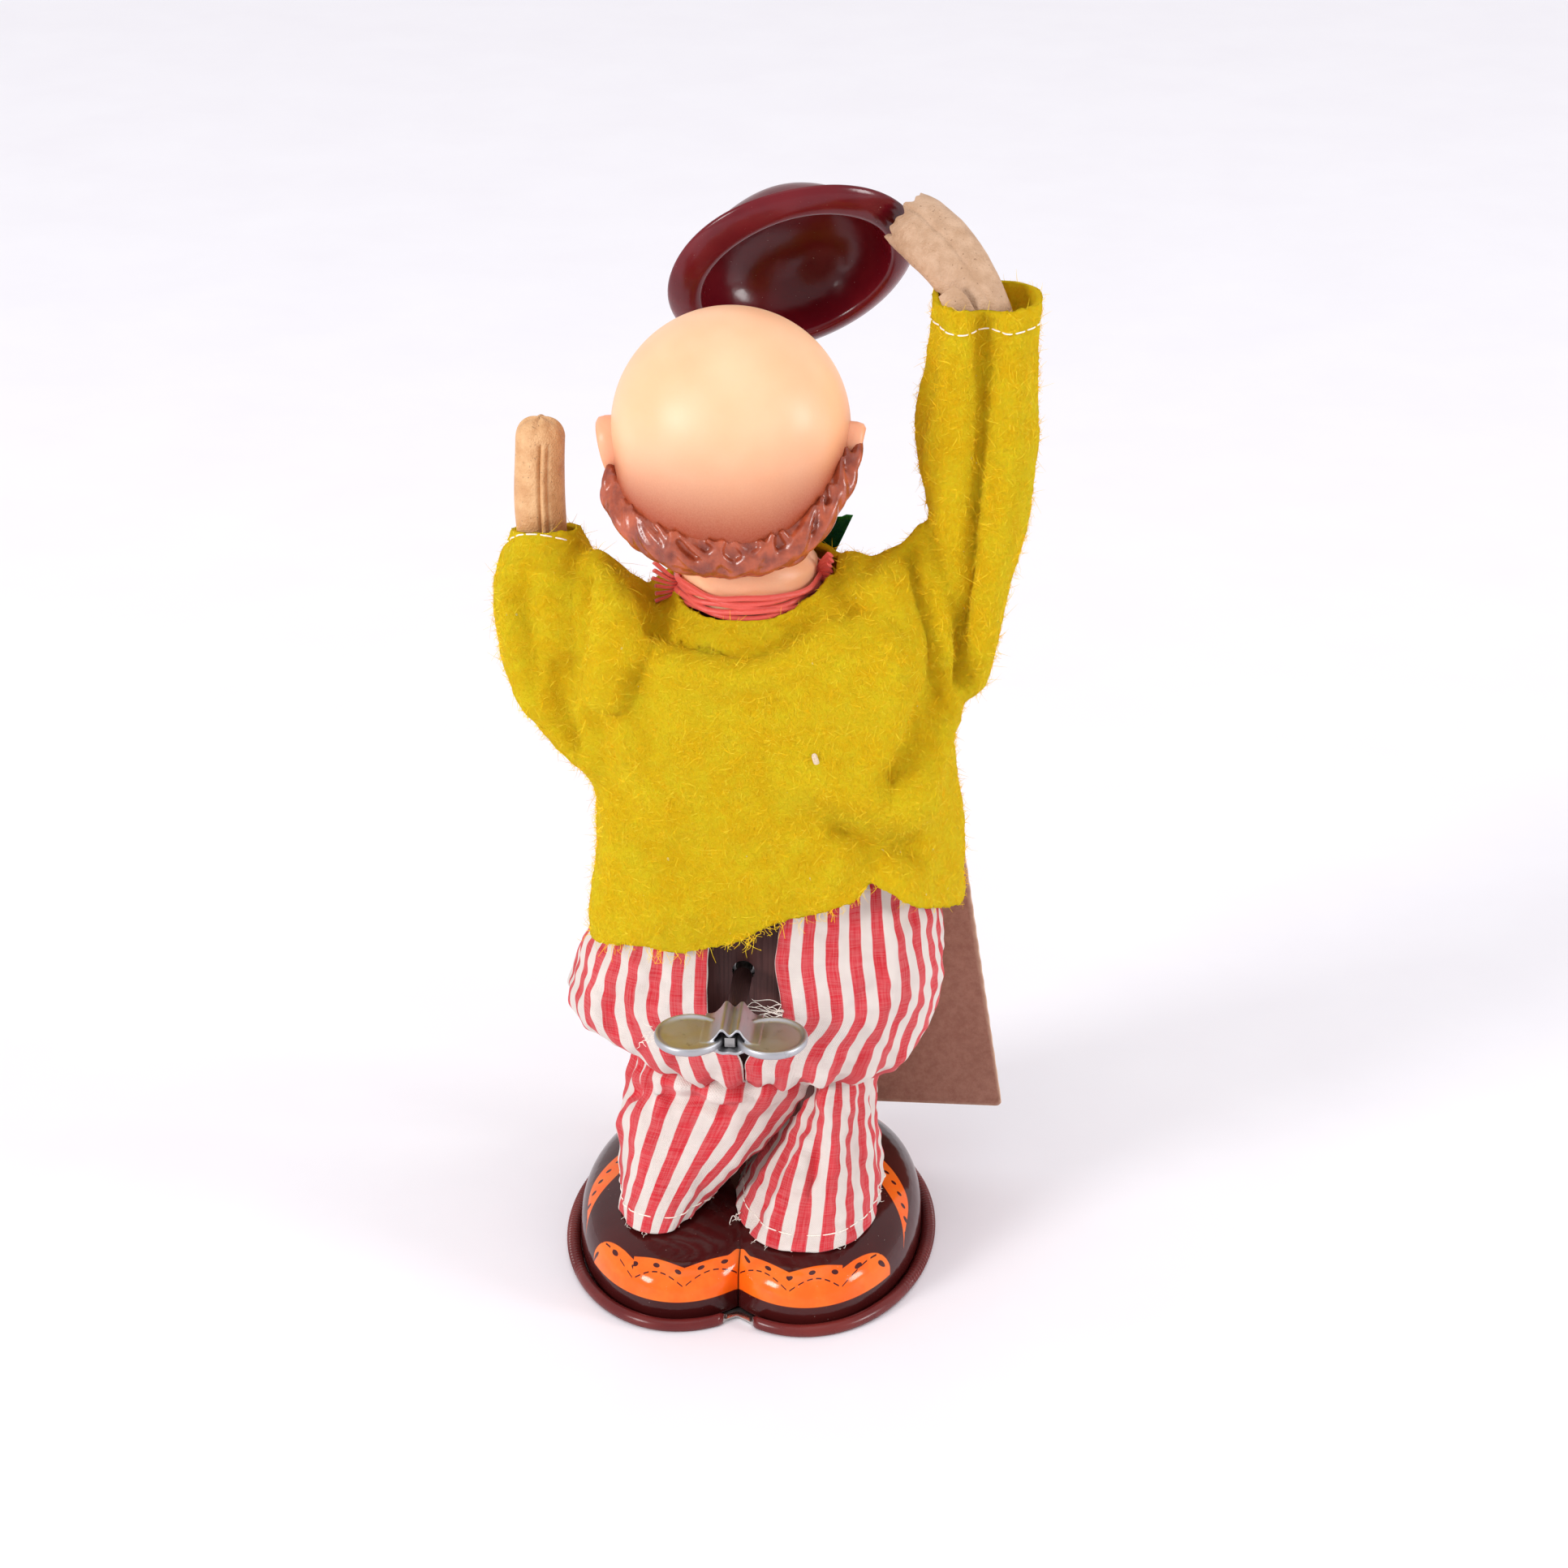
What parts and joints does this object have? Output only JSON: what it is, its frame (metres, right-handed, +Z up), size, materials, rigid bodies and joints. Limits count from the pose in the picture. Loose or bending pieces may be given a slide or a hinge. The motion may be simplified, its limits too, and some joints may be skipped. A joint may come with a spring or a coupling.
{
  "type": "wind-up toy figure",
  "caption": "Clockwork toy figure on tin shoes: winding key at the back, one arm lifts a bowler hat over a bald head, felt jacket, striped trousers, card sign.",
  "frame": {"origin": "centre of the flat underside of the base plate", "axes": "+Z up; the figure faces +Y, so the winding key points along -Y; its right-hand side of the rear view is +X"},
  "size_m": [0.1154, 0.1194, 0.237],
  "materials": {
    "shoe_tin": "glossy lithographed tin",
    "rim_tin": "glossy lithographed tin",
    "body_tin": "semi-gloss lithographed tin",
    "hat_tin": "glossy lithographed tin",
    "steel": "plain stamped steel",
    "brass": "plain",
    "chrome": "bright plated",
    "key_stem": "dark lacquered",
    "skin": "satin vinyl with airbrushed shading",
    "leatherette": "creased",
    "felt": "napped wool felt",
    "cotton": "plain weave, red and off-white stripes",
    "satin": "woven ribbon",
    "green_felt": "felt",
    "card": "plain chipboard"
  },
  "bodies": {
    "toy_body": {"base_plate": "rim_tin", "shoe_shell": "shoe_tin", "left_leg": "body_tin", "right_leg": "body_tin", "body_shell_rear": "body_tin", "body_shell_front": "body_tin", "motor_plate_rear": "steel", "motor_plate_front": "steel", "motor_pillar_1": "brass", "motor_pillar_2": "brass", "motor_pillar_3": "brass", "motor_pillar_4": "brass", "mainspring": "steel", "neck_post": "steel", "shaft_bracket": "steel", "jacket_body": "felt", "trousers_seat": "cotton", "trousers_left_leg": "cotton", "trousers_right_leg": "cotton", "neck_ribbon": "satin", "bow_tie": "green_felt", "sign_bracket": "steel", "sign_pin": "brass"},
    "key_set": {"key": "chrome", "key_stem": "key_stem", "winding_arbor": "steel", "ratchet_wheel": "steel"},
    "great_wheel_set": {"great_wheel": "brass", "click_pin": "steel"},
    "click": {"click": "steel"},
    "second_set": {"second_pinion": "brass", "second_arbor": "steel", "second_wheel": "brass", "lift_cam": "steel"},
    "escape_set": {"escape_pinion": "brass", "escape_arbor": "steel", "escape_wheel": "brass"},
    "anchor_set": {"anchor": "steel", "anchor_arbor": "steel"},
    "hat_arm": {"right_arm_shaft": "steel", "right_arm": "body_tin", "right_hand": "leatherette", "right_sleeve": "felt", "hat": "hat_tin", "hat_rivet": "brass", "arm_lever": "steel", "rod_pin": "steel"},
    "lift_rod": {"lift_rod": "steel"},
    "left_arm": {"left_arm_shaft": "steel", "left_arm": "body_tin", "left_hand": "leatherette", "left_sleeve": "felt"},
    "head": {"head": "skin"},
    "sign": {"sign_card": "card", "sign_clip": "steel"}
  },
  "joints": [
    {"name": "key_wind", "type": "hinge", "parent": "toy_body", "child": "key_set", "pos_m": [0, 0, 0.076], "axis": [0, 1, 0], "continuous": true},
    {"name": "great_wheel_turn", "type": "hinge", "parent": "toy_body", "child": "great_wheel_set", "pos_m": [0, 0, 0.076], "axis": [0, 1, 0], "continuous": true},
    {"name": "click_lift", "type": "hinge", "parent": "great_wheel_set", "child": "click", "pos_m": [-0.0077, 0, 0.07061], "axis": [0, 1, 0], "range_deg": [0, 12], "stiffness_Nm_per_rad": 0.0002},
    {"name": "second_turn", "type": "hinge", "parent": "toy_body", "child": "second_set", "pos_m": [0, 0, 0.092], "axis": [0, 1, 0], "continuous": true},
    {"name": "escape_turn", "type": "hinge", "parent": "toy_body", "child": "escape_set", "pos_m": [0.0096, 0, 0.092], "axis": [0, 1, 0], "continuous": true},
    {"name": "anchor_rock", "type": "hinge", "parent": "toy_body", "child": "anchor_set", "pos_m": [0.0096, 0, 0.0996], "axis": [0, 1, 0], "range_deg": [-3, 3]},
    {"name": "hat_arm_lift", "type": "hinge", "parent": "toy_body", "child": "hat_arm", "pos_m": [0, 0.008, 0.146], "axis": [1, 0, 0], "range_deg": [-12, 20]},
    {"name": "rod_swing", "type": "hinge", "parent": "hat_arm", "child": "lift_rod", "pos_m": [0, 0, 0.146], "axis": [1, 0, 0], "range_deg": [-20, 12]},
    {"name": "left_arm_swing", "type": "hinge", "parent": "toy_body", "child": "left_arm", "pos_m": [0, 0.008, 0.146], "axis": [1, 0, 0], "range_deg": [-60, 40]},
    {"name": "head_turn", "type": "hinge", "parent": "toy_body", "child": "head", "pos_m": [0, 0, 0.152], "axis": [0, 0, 1], "range_deg": [-30, 30]},
    {"name": "sign_swing", "type": "hinge", "parent": "toy_body", "child": "sign", "pos_m": [0.018, 0.0294, 0.0992], "axis": [1, 0, 0], "range_deg": [0, 40]}
  ],
  "couplings": [
    {"joint": "second_turn", "follows": "great_wheel_turn", "ratio": -3},
    {"joint": "escape_turn", "follows": "great_wheel_turn", "ratio": 9},
    {"joint": "rod_swing", "follows": "hat_arm_lift", "ratio": -1}
  ]
}
